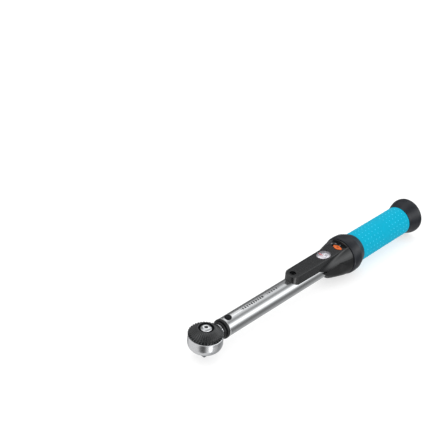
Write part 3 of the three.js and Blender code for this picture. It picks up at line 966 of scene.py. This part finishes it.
PIECES = [
    # name, shape, body, slot, nodes it stands for, edge rounding, look
    ("tube_shell", tube, "frame", "chrome_tube", ["tube"], 0, None),
    ("pivot_rivet", pivot_pin, "frame", "black_oxide", ["pivot_pin"], 0, None),
    ("neck_boot_shell", neck_boot, "frame", "black_rubber", ["neck_boot"], 0, None),
    ("head_drum", head_body, "head", "satin_chrome", ["head_body"], 0, None),
    ("dial_cone", reversing_dial, "dial", "dial_plastic", ["reversing_dial"], 0, None),
    ("button_dome", release_button, "button", "polished_chrome", ["release_button"], 0, None),
    ("button_plug", button_plug, "button", "black_oxide", [], 0, None),
    # The square drive gets the darker chrome as painted shade.
    ("square_drive", drive_gear, "drive", "satin_chrome", ["drive_gear"], 0.15, "shade_darkened_chrome"),
    ("housing_top_shell", housing_upper, "frame", "black_plastic", ["housing_upper"], 0.12, None),
    ("housing_saddle", housing_lower, "frame", "black_plastic", ["housing_lower"], 0.3, "matt_plastic"),
    ("tongue_screw", housing_screw, "frame", "black_oxide", ["housing_screw"], 0, None),
    ("window_lens", scale_window, "frame", "clear_lens", ["scale_window"], 0, None),
    ("window_pointer", index_pointer, "frame", "red_mark", ["index_pointer"], 0, None),
    ("scale_strip", scale_carrier, "carriage", "white_scale", ["scale_carrier"], 0.08, None),
    ("scale_marks", scale_marks, "carriage", "white_scale", [], 0, "print_black"),
    ("lock_knob", lock_slider, "lock_slider", "orange_plastic", ["lock_slider"], 0, None),
    ("lock_knob_dot", lock_slider_dot, "lock_slider", "orange_plastic", [], 0, "button_dot"),
    ("lock_signs", lock_signs, "frame", "black_plastic", [], 0, "print_grey"),
    ("collar_shell", collar_ring, "handle", "collar_plastic", ["collar_ring"], 0, None),
    ("grip_shell", grip_sleeve, "handle", "teal_grip", ["grip_sleeve"], 0, None),
    ("grip_dots", grip_dots, "handle", "teal_grip", [], 0, "grip_dots"),
    ("cap_shell", end_cap, "handle", "collar_plastic", ["end_cap"], 0, None),
    ("cap_bolt", handle_bolt, "handle", "black_oxide", ["handle_bolt"], 0, None),
]

for name, shape, body, slot, nodes, edge, look in PIECES:
    piece(name, shape(), body, MATERIALS[look or slot], nodes, edge)


# Nodes of the frame that stay as they are and only get a material
INNER = {
    "plain_steel": [
        "head_cover", "pawl_pin", "drive_ball", "shift_lug", "pawl", "plunger", "trip_block", "spring_nut",
        "lead_screw", "lock_bolt", "tube_end_plug", "plug_pin", "thrust_washer",
    ],
    "spring_steel": ["cover_clip", "button_spring", "dial_clip", "main_spring", "screw_clip"],
    "black_plastic": ["handle_core"],
}
for slot, names in INNER.items():
    for name in names:
        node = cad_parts[name]
        for material_slot in node.material_slots:
            material_slot.link = "OBJECT"
            material_slot.material = MATERIALS[slot]


# ---------------------------------------------------------------- floor, light and camera

def floor():
    """Wide pale floor just under the part's lowest point, left out of mirror reflections."""
    reach = 12.0
    low = CAD_BOX[0][2] - 0.0002
    mesh = bpy.data.meshes.new("floor")
    corners = [(-reach, -reach, low), (reach, -reach, low), (reach, reach, low), (-reach, reach, low)]
    mesh.from_pydata(corners, [], [(0, 1, 2, 3)])
    obj = bpy.data.objects.new("floor", mesh)
    bpy.context.scene.collection.objects.link(obj)
    s = Surface("floor_paper", linear(176, 176, 176), 0.9)
    s.tinted(40.0, 0.004)
    s.roughened(5.0, 0.05)
    mesh.materials.append(s.done(Emission_Color=(1, 1, 1, 1), Emission_Strength=0.62))
    obj.visible_glossy = False


# Brightness of the studio round the tube's axis: (angle up from the near side in degrees, level)
STUDIO = [
    (-167, 0.13), (-151, 0.26), (-125, 0.42), (-71, 0.33), (-47, 0.215), (-29, 0.145), (-11, 0.185),
    (1, 0.43), (13, 0.98), (28, 1.36), (42, 0.95), (56, 0.4), (68, 0.245), (80, 0.34), (96, 0.64),
    (108, 0.66), (118, 0.46), (134, 0.22), (157, 0.2), (177, 0.1),
]
STUDIO_STRENGTH = 1.25
PLAIN_ROOM = (0.9, 0.9, 0.9, 1)  # what rays other than mirror reflections see

# Patches of the room, seen mostly in the drum: (direction, full within, gone beyond, level),
# with the two reaches in degrees from that direction
HEAD_BOXES = [
    ((-1, 0.05, -0.35), 62, 88, 0.62),
    ((-0.73, -0.44, -0.5), 10, 27, 0.02),
    ((-0.14, -0.83, -0.5), 3, 13, 2.4),
    ((0.28, -0.73, -0.62), 8, 21, 0.45),
]


def studio():
    """Long soft boxes beside and above the tube, with dark gaps between, as its streaks show."""
    world = bpy.data.worlds.new("studio")
    bpy.context.scene.world = world
    world.use_nodes = True
    nodes = world.node_tree.nodes
    links = world.node_tree.links
    background = nodes["Background"]
    coords = nodes.new("ShaderNodeTexCoord")
    split = nodes.new("ShaderNodeSeparateXYZ")
    links.new(coords.outputs["Generated"], split.inputs["Vector"])
    flip = nodes.new("ShaderNodeMath")
    flip.operation = "MULTIPLY"
    flip.inputs[1].default_value = -1
    links.new(split.outputs["Y"], flip.inputs[0])
    angle = nodes.new("ShaderNodeMath")
    angle.operation = "ARCTAN2"
    links.new(split.outputs["Z"], angle.inputs[0])
    links.new(flip.outputs[0], angle.inputs[1])
    share = nodes.new("ShaderNodeMapRange")
    share.inputs["From Min"].default_value = -math.pi
    share.inputs["From Max"].default_value = math.pi
    links.new(angle.outputs[0], share.inputs["Value"])
    ramp = nodes.new("ShaderNodeValToRGB")
    ramp.color_ramp.interpolation = "EASE"
    elements = ramp.color_ramp.elements
    elements.remove(elements[-1])
    for index, (degrees, level) in enumerate(STUDIO):
        place = degrees / 360 + 0.5
        if index == 0:
            elements[0].position = place
        element = elements[0] if index == 0 else elements.new(place)
        element.color = (level * 0.985, level, level * 1.01, 1)
    links.new(share.outputs["Result"], ramp.inputs["Fac"])
    # Beyond the drive's end the room is even, with a dark gap, a small bright box and a dim one
    colour = ramp.outputs["Color"]
    for aim, inner, outer, level in HEAD_BOXES:
        toward = nodes.new("ShaderNodeVectorMath")
        toward.operation = "DOT_PRODUCT"
        toward.inputs[1].default_value = Vector(aim).normalized()
        links.new(coords.outputs["Generated"], toward.inputs[0])
        near = nodes.new("ShaderNodeMapRange")
        near.interpolation_type = "SMOOTHSTEP"
        near.inputs["From Min"].default_value = math.cos(math.radians(outer))
        near.inputs["From Max"].default_value = math.cos(math.radians(inner))
        links.new(toward.outputs["Value"], near.inputs["Value"])
        patch = (level, level, level, 1)
        colour = mixed_colours(world.node_tree, near.outputs["Result"], colour, patch)
    rays = nodes.new("ShaderNodeLightPath")
    mirrored = rays.outputs["Is Glossy Ray"]
    colour = mixed_colours(world.node_tree, mirrored, PLAIN_ROOM, colour)
    links.new(colour, background.inputs["Color"])
    background.inputs["Strength"].default_value = STUDIO_STRENGTH


def soft_light(name, place, target, size, power, mirrored=False):
    """A soft box aimed at a target. Unless mirrored, it is kept out of mirror reflections."""
    data = bpy.data.lights.new(name, "AREA")
    data.shape = "RECTANGLE"
    data.size, data.size_y = size
    data.energy = power
    obj = bpy.data.objects.new(name, data)
    bpy.context.scene.collection.objects.link(obj)
    obj.location = place
    obj.rotation_euler = (Vector(target) - Vector(place)).to_track_quat("-Z", "Y").to_euler()
    obj.visible_glossy = mirrored
    obj.visible_camera = False
    return obj


def head_light():
    """A small level box beyond the head, the only light that shows in mirror reflections."""
    light = soft_light("head_box", (0.33, 0.36, 0.35), (0.33, 0.36, 0), (0.25, 0.5), 0.24, mirrored=True)
    light.rotation_euler = (0, 0, math.radians(-29.2))


MIDDLE = (0.15, 0, 0.02)
CAMERA_PLACE = (-0.5089, -0.4413, 0.5614)


def camera():
    """The photograph's view: 49 degrees to the left of the front, 32 degrees up, rolled a little."""
    data = bpy.data.cameras.new("camera")
    data.sensor_width = 36
    data.lens = 81.82
    data.clip_start = 0.01
    data.clip_end = 100
    obj = bpy.data.objects.new("camera", data)
    bpy.context.scene.collection.objects.link(obj)
    right = Vector((0.6811, -0.7289, 0.0691)).normalized()
    back = Vector((-0.6436, -0.5510, 0.5312)).normalized()
    up = back.cross(right)
    turn = Matrix((right, up, back)).transposed().to_4x4()
    obj.matrix_world = Matrix.Translation(Vector(CAMERA_PLACE)) @ turn
    bpy.context.scene.camera = obj


floor()
studio()
soft_light("overhead", (0.1, 0.1, 1.2), MIDDLE, (1.6, 1.2), 3)
soft_light("near_side", (0.3, -1.1, 0.7), MIDDLE, (1.4, 0.8), 1.5)
head_light()
camera()
bpy.context.scene.view_settings.view_transform = "Standard"
